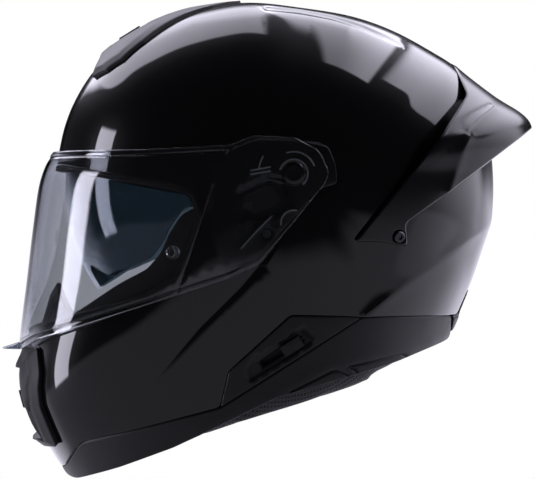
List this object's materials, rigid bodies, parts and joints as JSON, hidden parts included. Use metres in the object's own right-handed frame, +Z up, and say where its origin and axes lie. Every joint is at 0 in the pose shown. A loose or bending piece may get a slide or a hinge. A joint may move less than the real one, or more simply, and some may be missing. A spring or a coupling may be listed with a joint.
{
  "type": "motorcycle helmet",
  "caption": "Full-face motorcycle helmet with lifting clear visor, drop-down sun visor, vents, rear spoiler and padded lining",
  "frame": {"origin": "centre of the bounding box's bottom face, on the surface that the helmet stands on", "axes": "+X to the wearer's left, -Y to the front, +Z up, with the helmet standing on its chin trim and neck roll"},
  "size_m": [0.2572, 0.3793, 0.2722],
  "materials": {
    "gloss_black": "polished black clear-coated composite",
    "matte_black": "fine-textured black plastic",
    "rubber": "soft black rubber",
    "clear_visor": "clear hard-coated polycarbonate with bluish edges",
    "smoke_visor": "dark teal smoke polycarbonate",
    "foam": "expanded bead foam",
    "fabric": "perforated dark knit and brushed fabric",
    "webbing": "woven polyester webbing",
    "steel": "brushed steel",
    "dark_screw": "black oxide screw"
  },
  "bodies": {
    "helmet": {"base_plate_screw_front_left": "dark_screw", "base_plate_screw_front_right": "dark_screw", "base_plate_screw_rear_left": "dark_screw", "base_plate_screw_rear_right": "dark_screw", "breath_guard": "rubber", "buckle_body": "steel", "buckle_tongue": "matte_black", "cheek_pad_left": "fabric", "cheek_pad_right": "fabric", "chin_bar_liner": "foam", "chin_strap_left": "webbing", "chin_strap_right": "webbing", "chin_vent_housing": "matte_black", "chin_vent_mesh": "matte_black", "crown_pad": "fabric", "eyeport_gasket": "rubber", "impact_liner": "foam", "lower_trim": "matte_black", "neck_roll": "fabric", "outer_shell": "gloss_black", "rear_extractor": "matte_black", "rear_spoiler": "gloss_black", "side_panel_left": "matte_black", "side_panel_right": "matte_black", "spoiler_screw_left": "dark_screw", "spoiler_screw_right": "dark_screw", "strap_anchor_left": "steel", "strap_anchor_right": "steel", "sun_visor_pivot_left": "matte_black", "sun_visor_pivot_right": "matte_black", "top_vent_cover": "matte_black", "visor_base_plate_left": "matte_black", "visor_base_plate_right": "matte_black"},
    "visor_group": {"visor": "clear_visor", "insert_pin_left": "clear_visor", "insert_pin_right": "clear_visor"},
    "sun_visor": {"sun_visor": "smoke_visor"},
    "sun_visor_slider": {"sun_visor_slider": "matte_black"},
    "top_vent_slider": {"top_vent_slider": "matte_black"},
    "chin_vent_slider": {"chin_vent_slider": "matte_black"},
    "visor_release_lever_left": {"visor_release_lever_left": "matte_black"},
    "visor_release_lever_right": {"visor_release_lever_right": "matte_black"},
    "buckle_lever": {"buckle_lever": "steel"}
  },
  "joints": [
    {"name": "visor_hinge", "type": "hinge", "parent": "helmet", "child": "visor_group", "pos_m": [0, 0.0303, 0.1447], "axis": [-1, 0, 0], "range_deg": [0, 58]},
    {"name": "sun_visor_hinge", "type": "hinge", "parent": "helmet", "child": "sun_visor", "pos_m": [0, -0.00591, 0.14879], "axis": [-1, 0, 0], "range_deg": [0, 38]},
    {"name": "sun_visor_slide", "type": "slide", "parent": "helmet", "child": "sun_visor_slider", "axis": [-0.0653, -0.9661, -0.2498], "range_m": [0, 0.0181]},
    {"name": "top_vent_slide", "type": "slide", "parent": "helmet", "child": "top_vent_slider", "axis": [0, 0.9741, 0.226], "range_m": [0, 0.008]},
    {"name": "chin_vent_slide", "type": "slide", "parent": "helmet", "child": "chin_vent_slider", "axis": [0, 0.1391, 0.9903], "range_m": [0, 0.006]},
    {"name": "release_lever_hinge_left", "type": "hinge", "parent": "helmet", "child": "visor_release_lever_left", "pos_m": [0.12429, -0.00292, 0.13436], "axis": [-1, 0, 0], "range_deg": [0, 10], "stiffness_Nm_per_rad": 0.02},
    {"name": "release_lever_hinge_right", "type": "hinge", "parent": "helmet", "child": "visor_release_lever_right", "pos_m": [-0.12429, -0.00292, 0.13436], "axis": [-1, 0, 0], "range_deg": [0, 10], "stiffness_Nm_per_rad": 0.02},
    {"name": "buckle_lever_hinge", "type": "hinge", "parent": "helmet", "child": "buckle_lever", "pos_m": [0.038, -0.07519, 0.02714], "axis": [0, 0.9511, -0.309], "range_deg": [0, 40], "stiffness_Nm_per_rad": 0.05}
  ],
  "couplings": [
    {"joint": "sun_visor_slide", "follows": "sun_visor_hinge", "m_per_rad": 0.02714}
  ]
}
